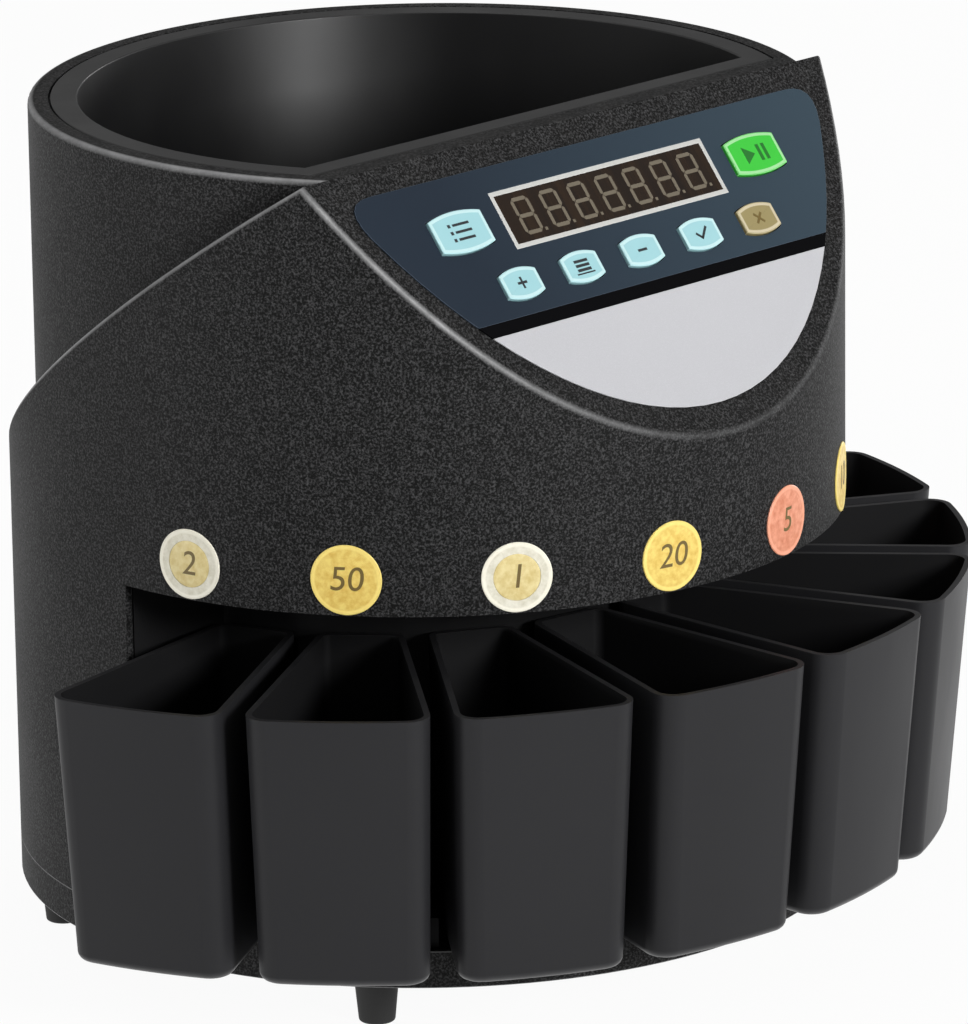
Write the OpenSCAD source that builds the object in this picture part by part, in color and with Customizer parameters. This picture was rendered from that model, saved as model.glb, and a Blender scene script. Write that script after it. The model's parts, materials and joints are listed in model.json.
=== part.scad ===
// Coin counting machine: a round hopper over a sorting disc, eight coin drawers fanned round the front,
// and a slanted control panel. Millimetres, +Z up, front towards -Y, the table at Z = 0.

/* [Housing] */
// Radius of the lower housing and its skirt
body_r = 141; // [136:0.5:148]
// Step in from the lower housing to the hopper wall
hopper_step = 9.5; // [7:0.5:12]
// Height of the hopper rim above the table
rim_z = 283.5; // [276:0.5:298]
// Wall of the moulded housing
wall = 3; // [2:0.25:4]
// Round on the outer edge of the hopper rim
rim_round = 2; // [1:0.25:2.5]
// Reach of the panel from its top edge to the front of the housing, seen from above
panel_reach = 73.5; // [69:0.5:78]
// Slant of the control panel from level
panel_tilt = 51.4; // [48:0.2:55]
// Slant of the shoulder from level
shoulder_tilt = 35.1; // [32:0.2:38]
// Space left between the drawers' rims and the skirt
drawer_mouth = 21.5; // [18:0.5:28]

/* [Base] */
// Height of the base tray above the table
foot_h = 15.5; // [12:0.5:20]
// Radius of a foot at the table
foot_r = 6; // [4:0.25:8]
// Radius of a foot where it meets the tray
foot_top_r = 7.5; // [6:0.25:10]
// Distance of the feet inside the housing's outline
foot_inset = 13; // [11:0.5:26]
// Angle of the front feet from the front
foot_angle = 54; // [45:1:60]
// Height of the tray's wall
tray_h = 12.8; // [10:0.2:16]
// Floor of the tray
tray_floor = 3; // [2:0.25:4]
// Radius of the posts that carry the sorting plate
post_r = 5; // [4:0.25:7]
// Angle of those posts from the front
post_angle = 116; // [108:1:122]
// Distance of those posts inside the housing's wall
post_inset = 20; // [14:0.5:26]

/* [Hopper] */
// Width of the housing's rim outside the bowl's lip
rim_w = 7.5; // [5:0.5:12]
// Width of the bowl's lip round the opening
lip_w = 9; // [6:0.5:10]
// Thickness of the lip
lip_t = 1.8; // [1.2:0.1:2.4]
// Groove between the lip and the housing's rim
lip_gap = 0.7; // [0.3:0.1:1.2]
// Wall of the bowl
bowl_wall = 2.5; // [1.5:0.25:3.5]
// Strip between the panel's top edge and the opening's straight side
flat_back = 18; // [15:0.5:24]
// Draw-in of the bowl from its opening to its neck
neck_in = 18; // [11:0.5:20]
// Height of the tapered part of the bowl
neck_h = 45; // [30:1:60]
// Draw of the bowl from its rim down to the tapered part
bowl_draft = 3; // [1:0.25:5]
// Gap under the bowl that lets one coin through
coin_gap = 4; // [3.5:0.25:6]

/* [Sorting] */
// Rise of the sorting plate above the skirt's edge
plate_rise = 4; // [3:0.5:8]
// Thickness of the sorting plate
plate_t = 3; // [2:0.25:4]
// Height of the sorting ring with its plate
ring_h = 10; // [9:0.5:12]
// Ledge of the bowl's neck over the edge of the turning disc
disc_in = 5; // [4:0.5:9]
// Thickness of the turning disc
disc_t = 5; // [4:0.25:5.5]
// Running gap round the disc
run_gap = 0.6; // [0.4:0.1:1]
// Rim of the sorting plate outside the coin slots
slot_rim = 2.2; // [1.6:0.1:4]
// Play of a coin in its slot
slot_play = 0.6; // [0.3:0.1:1]
// Depth of the coin cheeks under the plate
chute_h = 9; // [6:0.5:14]
// Thickness of a coin cheek
chute_wall = 1.6; // [1:0.1:2]

/* [Drawers] */
// Reach of the middle drawers out of the housing
drawer_out = 38; // [32:0.5:44]
// Length of a drawer at the rim
drawer_l = 97; // [92:0.5:100]
// Distance of the point that the drawers aim at behind the axis
fan_back = 20; // [17:0.5:22]
// Angle from one drawer to the next
fan_step = 20; // [19.5:0.1:20.2]
// Height of a drawer
drawer_h = 92; // [82:0.5:96]
// Gap between neighbouring drawers at the rim
drawer_gap = 8; // [6:0.25:10]
// Wall of a drawer
drawer_wall = 2; // [1.5:0.25:2.5]
// Lean of a drawer's front from floor to rim
drawer_lean = 8; // [3:0.25:10]
// Lean of a drawer's sides from floor to rim
side_lean = 0.5; // [0.2:0.1:1]
// Round on the front corners of a drawer
corner_r = 8; // [5:0.5:10]
// Gap under a drawer on its deck
slide_gap = 0.3; // [0.2:0.05:0.5]
// Play between a drawer and its guide rib
guide_play = 2.5; // [1:0.1:2.6]
// Height of the guide ribs above the deck
guide_h = 10; // [6:0.5:14]
// Wall behind the drawers
bay_wall_t = 2.5; // [2:0.25:4]
// Gap between the drawers' inner ends and that wall
bay_gap = 3; // [2:0.25:5]
// Thickness of the deck that the drawers stand on
deck_t = 2.5; // [2:0.25:4]

/* [Panel] */
// Thickness of the printed overlay
overlay_t = 0.6; // [0.4:0.1:1]
// Margin of the overlay below the panel's top edge
overlay_top = 9; // [7:0.5:11]
// Step in of the overlay from the housing's outline
overlay_inset = 6.5; // [5:0.5:9]
// Distance down the panel to the dark stripe
stripe_y = 61.4; // [60:0.2:64]
// Width of the dark stripe
stripe_w = 4.6; // [3:0.2:6]
// Width of the display's frame
frame_w = 101; // [96:0.5:106]
// Height of the display's frame
frame_h = 21; // [19:0.5:22]
// Line of the display's frame
frame_line = 1.6; // [1:0.1:2]
// Distance down the panel to the middle of the display and the two large keys
display_y = 28.5; // [27.5:0.5:30]
// Distance down the panel to the row of small keys
row_y = 50.6; // [49.5:0.2:52]
// Spacing of the small keys
key_pitch = 28.3; // [24:0.1:30]
// Width of a small key
key_w = 16.8; // [14:0.2:20]
// Height of a small key's sides
key_h = 8; // [6:0.2:9]
// Width of a large key
big_key_w = 24; // [20:0.2:27]
// Height of a large key's sides
big_key_h = 11.5; // [9:0.2:13]
// Distance of the large keys from the middle
big_key_x = 70; // [68:0.5:74]
// Bow of a key's top and bottom edges
key_bow = 1.7; // [1:0.1:2.4]
// Height of a key above the overlay
key_proud = 0.9; // [0.5:0.1:1.4]
// Travel of a key
key_travel = 0.5; // [0.3:0.05:0.8]
// Gap round a key
key_play = 0.3; // [0.2:0.05:0.5]
// Depth of the panel's board behind its wall
board_depth = 6; // [5:0.25:8]
// Diameter of the coin badges
badge_d = 23.5; // [18:0.25:24]
// Thickness of the coin badges
badge_t = 0.5; // [0.3:0.1:0.8]

/* [Drive] */
// Module of the gears
gear_module = 1.25; // [1:0.05:1.35]
// Width of the gears
gear_w = 10; // [7:0.5:12]
// Radius of the disc's shaft
shaft_r = 4; // [3:0.25:5]
// Wall of the shaft's bushes
bush_wall = 3; // [2:0.25:4]
// Running clearance of the shafts
shaft_play = 0.05; // [0.02:0.01:0.08]
// Radius of the motor
motor_r = 18; // [15:0.5:20]
// Length of the motor
motor_h = 52; // [40:1:60]
// Radius of the motor's shaft
motor_shaft_r = 2.5; // [2:0.25:3.5]
// Thickness of the motor's bracket
bracket_t = 3; // [2:0.25:4]
// Gap between the gear and the plates above and below it
gear_gap = 4; // [2:0.5:6]

/* [Rear] */
// Width of the flat recess in the back
recess_w = 84; // [80:1:92]
// Height of the flat recess in the back
recess_h = 36; // [32:1:42]
// Height of the recess above the table
recess_z = 64; // [60:1:74]
// Distance of the inlet and the switch from the middle
rear_x = 20; // [18:0.5:22]

/* [Hidden] */
$fn = 96;
big = 400;
cut = 1;
drawer_count = 8;
slot_step = 180 / drawer_count;
coin_d = [25.75, 24.25, 23.25, 22.25, 21.25, 19.75, 18.75, 16.25];
gear_teeth = 48;
pinion_teeth = 16;
fit = 0.3;

hopper_r = body_r - hopper_step;
inner_r = body_r - wall;
lip_r = hopper_r - rim_w;
opening_r = lip_r - lip_w;
neck_r = opening_r - neck_in;
disc_r = neck_r - disc_in;
foot_ring = body_r - foot_inset;
drawer_r = body_r + drawer_out + fan_back;
drawer_in = drawer_r - drawer_l;
axis_y = drawer_out / 2;
ridge_y = body_r - panel_reach;
seam_z = foot_h + tray_h;
floor_z = foot_h + tray_floor;
drawer_z = seam_z + slide_gap;
drawer_top = drawer_z + drawer_h;
skirt_z = drawer_top + drawer_mouth;
plate_z = skirt_z + plate_rise;
plate_top = plate_z + plate_t;
ring_top = plate_z + ring_h;
disc_z = ring_top - disc_t;
bowl_z = ring_top + coin_gap;
flat_y = ridge_y - flat_back;
bay_r = drawer_in - bay_gap;
gear_z = plate_z - gear_gap - gear_w;
bracket_z = gear_z - gear_gap - bracket_t;
motor_y = gear_module * (gear_teeth + pinion_teeth) / 2;
board_z = -wall - board_depth;
board_t = 1.6;
recess_y = sqrt(pow(body_r, 2) - pow(recess_w / 2, 2)) - fit;

small_keys = ["key_plus", "key_batch", "key_minus", "key_set", "key_clear"];

// Frames of the object

// The machine's axis stands behind the middle of the whole outline
module on_axis() {
    translate([0, axis_y, 0]) children();
}

// Panel frame: X across, Y up the slope from the top edge, Z out of the panel
module on_panel() {
    on_axis() translate([0, -ridge_y, rim_z]) rotate([panel_tilt, 0, 0]) children();
}

// Radial frame: X outwards at an angle from the front, positive towards +X
module at_angle(a) {
    on_axis() rotate([0, 0, a - 90]) children();
}

// Fan frame: X outwards at an angle from the front, about the point that the drawers aim at
module on_fan(a) {
    on_axis() translate([0, fan_back, 0]) rotate([0, 0, a - 90]) children();
}

// Angles of the coin slots and badges about the axis, and of the drawers about their own point
function slot_angle(i) = slot_step * (i - (drawer_count + 1) / 2);
function drawer_angle(i) = fan_step * (i - (drawer_count + 1) / 2);

// Everything on one side of the axis: side -1 is the front half, 1 the rear half
module half_space(side, z0, z1) {
    translate([-big / 2, side < 0 ? -big : 0, z0]) cube([big, big, z1 - z0]);
}

// Base

module foot_places() {
    for (side = [-1, 1], a = [foot_angle, 180 - foot_angle])
        at_angle(side * a) translate([foot_ring, 0, 0]) children();
}

module post_places() {
    for (side = [-1, 1])
        at_angle(side * post_angle) translate([inner_r - post_inset, 0, 0]) children();
}

screw_r = 1.6;
screw_head_r = 3.2;
screw_head_h = 2;
screw_l = 12;

module base_tray() {
    color("#1b1b1c") difference() {
        union() {
            on_axis() difference() {
                translate([0, 0, foot_h]) cylinder(r = body_r, h = tray_h);
                translate([0, 0, floor_z]) cylinder(r = inner_r, h = tray_h);
            }
            post_places() translate([0, 0, foot_h]) cylinder(r = post_r, h = plate_z - foot_h);
        }
        post_places() translate([0, 0, foot_h - cut])
            cylinder(r = screw_head_r + fit, h = screw_head_h + cut);
        post_places() translate([0, 0, foot_h]) cylinder(r = screw_r + shaft_play, h = screw_l + cut);
    }
}

module base_screws() {
    color("#9a9a98") post_places() translate([0, 0, foot_h]) {
        cylinder(r = screw_head_r, h = screw_head_h);
        cylinder(r = screw_r, h = screw_l);
    }
}

module feet() {
    color("#161616") foot_places() cylinder(r1 = foot_r, r2 = foot_top_r, h = foot_h);
}

// Front half inside the tray, outside the wall behind the drawers, drawn in by a wall
module deck_form(inset, z0, z1) {
    on_axis() difference() {
        translate([0, 0, z0]) cylinder(r = inner_r - fit - inset, h = z1 - z0);
        translate([0, fan_back, z0 - cut]) cylinder(r = bay_r + fit + inset, h = z1 - z0 + 2 * cut);
        translate([0, -inset, 0]) half_space(1, z0 - cut, z1 + cut);
    }
}

// Deck under the drawers, with ribs between them that keep each one on its line
module drawer_deck() {
    rib = drawer_gap - 2 * guide_play;
    rib_end = 1;
    color("#19191a") {
        difference() {
            deck_form(0, floor_z, seam_z);
            deck_form(deck_t, floor_z - cut, seam_z - deck_t);
        }
        intersection() {
            deck_form(rib_end, floor_z, seam_z + guide_h);
            for (i = [1 : drawer_count - 1])
                on_fan(drawer_angle(i) + fan_step / 2) translate([0, -rib / 2, seam_z - deck_t / 2])
                    cube([big, rib, deck_t / 2 + guide_h]);
        }
    }
}

module bay_wall() {
    color("#3b3b3d") on_axis() difference() {
        translate([0, fan_back, floor_z]) cylinder(r = bay_r, h = plate_z - floor_z);
        translate([0, fan_back, floor_z - cut]) cylinder(r = bay_r - bay_wall_t, h = plate_z);
        half_space(1, 0, big);
    }
}

module bay_sides() {
    bay_x = sqrt(pow(bay_r, 2) - pow(fan_back, 2)) - bay_wall_t;
    side_l = sqrt(pow(inner_r - fit, 2) - pow(bay_wall_t, 2)) - bay_x;
    color("#3b3b3d") on_axis() for (side = [-1, 1])
        translate([side < 0 ? -bay_x - side_l : bay_x, 0, floor_z])
            cube([side_l, bay_wall_t, plate_z - floor_z]);
}

// Housing

// Round post with a rounded top edge
module round_top(r, z0, z1, edge) {
    translate([0, 0, z0]) rotate_extrude() {
        square([r - edge, z1 - z0]);
        square([r, z1 - z0 - edge]);
        translate([r - edge, z1 - z0 - edge]) intersection() {
            circle(edge);
            square(edge);
        }
    }
}

// The housing's outline, drawn in by a wall where it is hollow
module housing_form(inset) {
    on_axis() difference() {
        union() {
            round_top(hopper_r - inset, 0, rim_z - inset, rim_round);
            difference() {
                cylinder(r = body_r - inset, h = rim_z - inset);
                translate([0, -ridge_y, rim_z]) rotate([-shoulder_tilt, 0, 0])
                    translate([-big / 2, -big, -inset]) cube([big, 2 * big, big]);
            }
        }
        translate([0, -ridge_y, rim_z]) rotate([panel_tilt, 0, 0])
            translate([-big / 2, -big, -inset]) cube([big, 2 * big, big]);
    }
}

// Round opening with one straight side towards the panel
module opening_form(r, flat, z0, z1) {
    on_axis() intersection() {
        translate([0, 0, z0]) cylinder(r = r, h = z1 - z0);
        translate([-big / 2, -flat, z0]) cube([big, big, z1 - z0]);
    }
}

// Block in the place of the rear recess, grown by a wall
module rear_recess(grow, y0, y1) {
    on_axis() translate([-recess_w / 2 - grow, y0, recess_z - recess_h / 2 - grow])
        cube([recess_w + 2 * grow, y1 - y0, recess_h + 2 * grow]);
}

pillar_r = 3;
pillar_inset = 4;

// Pillars that hold the panel's board behind its wall
module board_pillars() {
    for (x = [-1, 1], y = [board_y0 + pillar_inset, board_y1 - pillar_inset])
        on_panel() translate([x * (board_w / 2 - pillar_inset), y, board_z])
            cylinder(r = pillar_r, h = board_depth + wall / 2);
}

// Hopper wall, shoulder, panel and skirt
module main_housing() {
    color("#222223") difference() {
        union() {
            difference() {
                housing_form(0);
                housing_form(wall);
            }
            board_pillars();
        }
        on_axis() translate([0, 0, -cut]) cylinder(r = big, h = skirt_z + cut);
        opening_form(lip_r + lip_gap, flat_y + lip_w + lip_gap, rim_z - lip_t, rim_z + cut);
        opening_form(opening_r + bowl_wall + fit, flat_y + bowl_wall + fit, rim_z - 2 * wall, rim_z);
        on_panel() translate([0, 0, -wall - cut]) linear_extrude(wall + 2 * cut) panel_holes(key_play);
    }
}

// Rear half of the housing under the skirt, with a framed window for the flat panel
module rear_shell() {
    color("#222223") difference() {
        union() {
            difference() {
                housing_form(0);
                housing_form(wall);
            }
            intersection() {
                housing_form(0);
                rear_recess(wall, recess_y - wall, body_r);
            }
        }
        on_axis() translate([0, 0, -cut]) cylinder(r = big, h = seam_z + cut);
        on_axis() translate([0, 0, skirt_z]) cylinder(r = big, h = big);
        on_axis() half_space(-1, -cut, big);
        rear_recess(0, recess_y - 2 * wall, body_r + cut);
    }
}

// Flat panel at the bottom of the recess that holds the inlet and the switch
module rear_panel() {
    color("#1f1f20") difference() {
        rear_recess(0, recess_y - wall, recess_y);
        rear_holes();
    }
}

// Hopper

// Solid of the bowl's inside, grown by a wall
module bowl_form(grow, z0, z1) {
    on_axis() intersection() {
        rotate_extrude() polygon([
            [0, z0], [neck_r + grow, z0], [neck_r + grow, bowl_z],
            [opening_r - bowl_draft + grow, bowl_z + neck_h], [opening_r + grow, rim_z],
            [opening_r + grow, z1], [0, z1]]);
        translate([-big / 2, -flat_y - grow, 0]) cube(big);
    }
}

module hopper_bowl() {
    color("#131314") difference() {
        union() {
            bowl_form(bowl_wall, bowl_z, rim_z);
            opening_form(lip_r, flat_y + lip_w, rim_z - lip_t, rim_z);
        }
        bowl_form(0, bowl_z - cut, rim_z + cut);
    }
}

// Sorting plate, disc and drive

slot_side = 1;
plate_r = hopper_r - wall - fit;
slot_edge_r = plate_r - slot_rim;
hole_r = disc_r + run_gap;
bush_r = shaft_r + shaft_play + bush_wall;

// Ring round the disc, with a slot for each coin, from the largest on the left to the smallest
module sorting_ring() {
    color("#5a5c5f") difference() {
        on_axis() translate([0, 0, plate_z]) difference() {
            cylinder(r = plate_r, h = ring_h);
            translate([0, 0, -cut]) cylinder(r = hole_r, h = ring_h + 2 * cut);
        }
        for (i = [1 : drawer_count]) {
            d = coin_d[i - 1] + slot_play;
            at_angle(slot_angle(i)) translate([slot_edge_r - d, -d / 2 - slot_side, plate_z - cut])
                cube([d, d + 2 * slot_side, ring_h + 2 * cut]);
        }
    }
}

// Plate under the disc that carries its upper bush and the motor's bracket
module disc_floor() {
    color("#66686b") on_axis() translate([0, 0, plate_z]) difference() {
        cylinder(r = hole_r - fit, h = plate_t);
        translate([0, 0, -cut]) cylinder(r = bush_r, h = plate_t + 2 * cut);
    }
}

chute_side = 1.5;
chute_in = slot_edge_r - coin_d[0] - slot_play;
chute_w = coin_d[0] + slot_play + 2 * chute_side;

// Cheeks under the plate that guide each coin from its slot into its drawer
module coin_chutes() {
    color("#77797c") for (i = [1 : drawer_count], side = [-1, 1])
        at_angle(slot_angle(i))
            translate([chute_in, side * (chute_w + chute_wall) / 2 - chute_wall / 2, plate_z - chute_h])
                cube([slot_edge_r - chute_in, chute_wall, chute_h]);
}

// Counting sensors at the inner end of the slots
module coin_sensors() {
    sensor_w = 10;
    sensor_l = 4;
    color("#2f4a38") for (i = [1 : drawer_count])
        at_angle(slot_angle(i)) translate([chute_in - sensor_l, -sensor_w / 2, plate_z - chute_h])
            cube([sensor_l, sensor_w, chute_h]);
}

hub_r = 14;
hub_h = 4;
cone_h = 14;
cone_tip_r = 4;

module coin_disc() {
    color("#8d9094") on_axis() translate([0, 0, disc_z]) difference() {
        cylinder(r = disc_r, h = disc_t);
        translate([0, 0, -cut]) cylinder(r = shaft_r, h = disc_t + 2 * cut);
    }
}

mat_t = 1.2;
mat_edge = 8;
mat_hole = 4;

module disc_mat() {
    color("#2c2d30") on_axis() translate([0, 0, ring_top]) difference() {
        cylinder(r = disc_r - mat_edge, h = mat_t);
        translate([0, 0, -cut]) cylinder(r = hub_r + mat_hole, h = mat_t + 2 * cut);
    }
}

// Cone that spreads the coins and holds the disc to its shaft
module disc_cone() {
    color("#a9acb0") on_axis() translate([0, 0, ring_top]) {
        cylinder(r = hub_r, h = hub_h);
        translate([0, 0, hub_h]) cylinder(r1 = hub_r, r2 = cone_tip_r, h = cone_h);
    }
}

shaft_end = 4;

module disc_shaft() {
    color("#b9bcc0") on_axis() translate([0, 0, bracket_z - shaft_end])
        cylinder(r = shaft_r, h = ring_top - bracket_z + shaft_end);
}

module bush(z0, z1) {
    translate([0, 0, z0]) difference() {
        cylinder(r = bush_r, h = z1 - z0);
        translate([0, 0, -cut]) cylinder(r = shaft_r + shaft_play, h = z1 - z0 + 2 * cut);
    }
}

module shaft_bushes() {
    color("#b08d4a") on_axis() {
        bush(plate_z, plate_top);
        bush(bracket_z, bracket_z + bracket_t);
    }
}

// Involute gear outline: teeth of a given module with a little backlash
pressure = 20;
backlash = 0.16;
flank_steps = 3;
addendum = 0.95;
dedendum = 1.25;
function inv(r, rb) = sqrt(pow(r / rb, 2) - 1) * 180 / PI - acos(rb / r);
function flank(r, rb, half, rp) = half + inv(rp, rb) - inv(max(r, rb), rb);
function tooth(n, m, a) = let (
    rp = n * m / 2,
    rb = rp * cos(pressure),
    tip = rp + addendum * m,
    root = rp - dedendum * m,
    half = 90 / n - backlash / 2 / rp * 180 / PI,
    low = max(rb, root),
    radii = concat([root], [for (k = [0 : flank_steps]) low + (tip - low) * k / flank_steps]))
    concat([for (r = radii) r * [cos(a - flank(r, rb, half, rp)), sin(a - flank(r, rb, half, rp))]],
           [for (k = [len(radii) - 1 : -1 : 0]) let (r = radii[k])
               r * [cos(a + flank(r, rb, half, rp)), sin(a + flank(r, rb, half, rp))]]);
module gear_outline(n, m, turn) {
    polygon([for (k = [0 : n - 1], p = tooth(n, m, turn + 360 * k / n)) p]);
}

gear_dish = 3;
gear_rim = 6;
gear_hub = 5;

module drive_gear() {
    color("#d8d6cf") on_axis() translate([0, 0, gear_z]) difference() {
        linear_extrude(gear_w) gear_outline(gear_teeth, gear_module, 0);
        translate([0, 0, -cut]) cylinder(r = shaft_r, h = gear_w + 2 * cut);
        translate([0, 0, gear_w - gear_dish]) difference() {
            cylinder(r = gear_module * gear_teeth / 2 - gear_rim, h = gear_w);
            cylinder(r = shaft_r + gear_hub, h = gear_w);
        }
    }
}

motor_seat = 8;

module motor_pinion() {
    color("#c9b26a") on_axis() translate([0, motor_y, 0]) {
        translate([0, 0, gear_z]) linear_extrude(gear_w)
            gear_outline(pinion_teeth, gear_module, 180 / pinion_teeth);
        translate([0, 0, bracket_z - motor_seat])
            cylinder(r = motor_shaft_r, h = gear_z + gear_w - bracket_z + motor_seat);
    }
}

bracket_half = 46;
bracket_post_r = 4;
bracket_inset = 6;
bracket_front = 22;
bracket_back = motor_y + motor_r + 10;
bracket_hole = 3;

module motor_bracket() {
    color("#a7abb0") on_axis() difference() {
        union() {
            translate([-bracket_half, -bracket_front, bracket_z])
                cube([2 * bracket_half, bracket_front + bracket_back, bracket_t]);
            for (x = [-1, 1], y = [-bracket_front + bracket_inset, bracket_back - bracket_inset])
                translate([x * (bracket_half - bracket_inset), y, bracket_z])
                    cylinder(r = bracket_post_r, h = plate_z - bracket_z);
        }
        translate([0, 0, bracket_z - cut]) cylinder(r = bush_r, h = bracket_t + 2 * cut);
        translate([0, motor_y, bracket_z - cut])
            cylinder(r = motor_shaft_r + bracket_hole, h = bracket_t + 2 * cut);
    }
}

band_t = 1;
band_z = 10;
band_h = 26;
motor_bore = motor_seat + cut;

module motor() {
    color("#6f7378") on_axis() translate([0, motor_y, bracket_z - motor_h]) difference() {
        union() {
            cylinder(r = motor_r, h = motor_h);
            translate([0, 0, band_z]) cylinder(r = motor_r + band_t, h = band_h);
        }
        translate([0, 0, motor_h - motor_bore])
            cylinder(r = motor_shaft_r + shaft_play, h = motor_bore + cut);
    }
}

// Electronics in the rear half

main_board_w = 64;
main_board_l = 52;
main_board_inset = 70;
main_board_at = [52, inner_r - main_board_inset];
main_board_rise = 10;
main_board_z = floor_z + main_board_rise;
standoff_r = 3;
standoff_inset = 4;
chip = [24, 16, 3];
chip_at = [-20, -8];
plug_row = [28, 6, 8];
plug_row_at = [-24, 14];
can_r = 6;
can_h = 20;
can_at = [[18, 8], [18, -10]];

module main_board() {
    color("#2e6b45") on_axis() translate([main_board_at[0], main_board_at[1], 0]) {
        translate([-main_board_w / 2, -main_board_l / 2, main_board_z])
            cube([main_board_w, main_board_l, board_t]);
        standoff_x = main_board_w / 2 - standoff_inset;
        standoff_y = main_board_l / 2 - standoff_inset;
        for (x = [-1, 1], y = [-1, 1])
            translate([x * standoff_x, y * standoff_y, floor_z])
                cylinder(r = standoff_r, h = main_board_rise);
    }
}

module board_parts() {
    color("#202224") on_axis() translate([main_board_at[0], main_board_at[1], main_board_z + board_t]) {
        translate(chip_at) cube(chip);
        translate(plug_row_at) cube(plug_row);
        for (at = can_at) translate(at) cylinder(r = can_r, h = can_h);
    }
}

core_w = 50;
core_l = 26;
core_h = 42;
core_inset = 68;
core_at = [-62, inner_r - core_inset];
coil_over = 9;
core_leg = 11;

coil_h = core_h - 2 * core_leg;

module transformer_core() {
    window_w = core_w / 2 - 1.5 * core_leg;
    color("#4a4c50") on_axis() translate([core_at[0], core_at[1], floor_z]) difference() {
        translate([-core_w / 2, -core_l / 2, 0]) cube([core_w, core_l, core_h]);
        for (x = [-core_leg / 2 - window_w, core_leg / 2])
            translate([x, -core_l / 2 - cut, core_leg]) cube([window_w, core_l + 2 * cut, coil_h]);
    }
}

module transformer_coil() {
    coil_w = core_w - 2 * core_leg;
    color("#b98a3a") on_axis() translate([core_at[0], core_at[1], floor_z + core_leg]) difference() {
        translate([-coil_w / 2, -core_l / 2 - coil_over, 0])
            cube([coil_w, core_l + 2 * coil_over, coil_h]);
        translate([-core_leg / 2, -core_l / 2, -cut]) cube([core_leg, core_l, core_h]);
    }
}

// Inlet and switch in the rear recess

inlet_w = 27.4;
inlet_h = 20;
inlet_d = 22;
flange_t = 2;
flange_over = 3;
inlet_wall = 1.6;
switch_w = 13;
switch_h = 21.6;
switch_d = 17;
switch_wall = 1.4;
rocker_r = 9;
rocker_rise = 4;
trunnion_r = 1.5;
rocker_tilt = 11;
rocker_flat = 2.4;
snap_play = 0.1;

// Rear frame: X across, Y outwards from the recess, Z up
module on_recess(x) {
    on_axis() translate([x, recess_y, recess_z]) children();
}

module rear_holes() {
    for (hole = [[rear_x, inlet_w, inlet_h], [-rear_x, switch_w, switch_h]])
        on_recess(hole[0]) translate([-hole[1] / 2, -2 * wall, -hole[2] / 2])
            cube([hole[1], 4 * wall, hole[2]]);
}

// Open box that snaps into a hole of the recess, with a flange outside
module snap_body(w, h, d, shell) {
    difference() {
        union() {
            translate([-w / 2 + snap_play, -d, -h / 2 + snap_play])
                cube([w - 2 * snap_play, d, h - 2 * snap_play]);
            translate([-w / 2 - flange_over, 0, -h / 2 - flange_over])
                cube([w + 2 * flange_over, flange_t, h + 2 * flange_over]);
        }
        translate([-w / 2 + shell, -d + 2 * shell, -h / 2 + shell])
            cube([w - 2 * shell, d + big, h - 2 * shell]);
    }
}

module power_inlet() {
    color("#111112") on_recess(rear_x) snap_body(inlet_w, inlet_h, inlet_d, inlet_wall);
}

pin_w = 4;
pin_t = 2;
pin_l = 14;
pin_gap = 14;
earth_rise = 4;

module inlet_pins() {
    places = [[-pin_gap / 2, 0], [pin_gap / 2, 0], [0, earth_rise]];
    color("#c8c8c4") on_recess(rear_x) for (p = places)
        translate([p[0] - pin_t / 2, -inlet_d + 2 * inlet_wall, p[1] - pin_w / 2])
            cube([pin_t, pin_l, pin_w]);
}

module switch_frame() {
    color("#121213") difference() {
        on_recess(-rear_x) snap_body(switch_w, switch_h, switch_d, switch_wall);
        on_recess(-rear_x) translate([-switch_w, -rocker_rise, 0]) rotate([0, 90, 0])
            cylinder(r = trunnion_r + shaft_play, h = 2 * switch_w);
    }
}

module switch_rocker() {
    rocker_w = switch_w - 2 * switch_wall - 2 * fit;
    trunnion_l = switch_w - 2 * fit;
    color("#1d1d1e") on_recess(-rear_x) translate([0, -rocker_rise, 0]) rotate([rocker_tilt, 0, 0]) {
        rotate([0, 90, 0]) translate([0, 0, -trunnion_l / 2]) cylinder(r = trunnion_r, h = trunnion_l);
        difference() {
            rotate([0, 90, 0]) translate([0, 0, -rocker_w / 2]) cylinder(r = rocker_r, h = rocker_w);
            for (side = [-1, 1])
                translate([-big / 2, rocker_r - rocker_flat, 0]) rotate([-side * rocker_tilt, 0, 0])
                    translate([0, 0, side < 0 ? -big : 0]) cube(big);
        }
    }
}

// Control panel

board_w = 176;
board_edge = 10;
board_y0 = -row_y - board_edge;
board_y1 = -board_edge;

function key_x(k) = (k - 2) * key_pitch;

// Key outline: straight sides, bowed top and bottom
module key_outline(w, h, bow) {
    bow_r = (w * w / 4 + bow * bow) / 2 / bow;
    intersection() {
        square([w, h + 2 * bow], center = true);
        translate([0, h / 2 + bow - bow_r]) circle(bow_r);
        translate([0, bow_r - bow - h / 2]) circle(bow_r);
    }
}

module key_holes(play) {
    for (side = [-1, 1]) translate([side * big_key_x, -display_y])
        key_outline(big_key_w + 2 * play, big_key_h + 2 * play, key_bow);
    for (k = [0 : len(small_keys) - 1]) translate([key_x(k), -row_y])
        key_outline(key_w + 2 * play, key_h + 2 * play, key_bow);
}

module display_outline(line) {
    translate([0, -display_y]) square([frame_w - 2 * line, frame_h - 2 * line], center = true);
}

module panel_holes(play) {
    key_holes(play);
    display_outline(frame_line);
}

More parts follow.
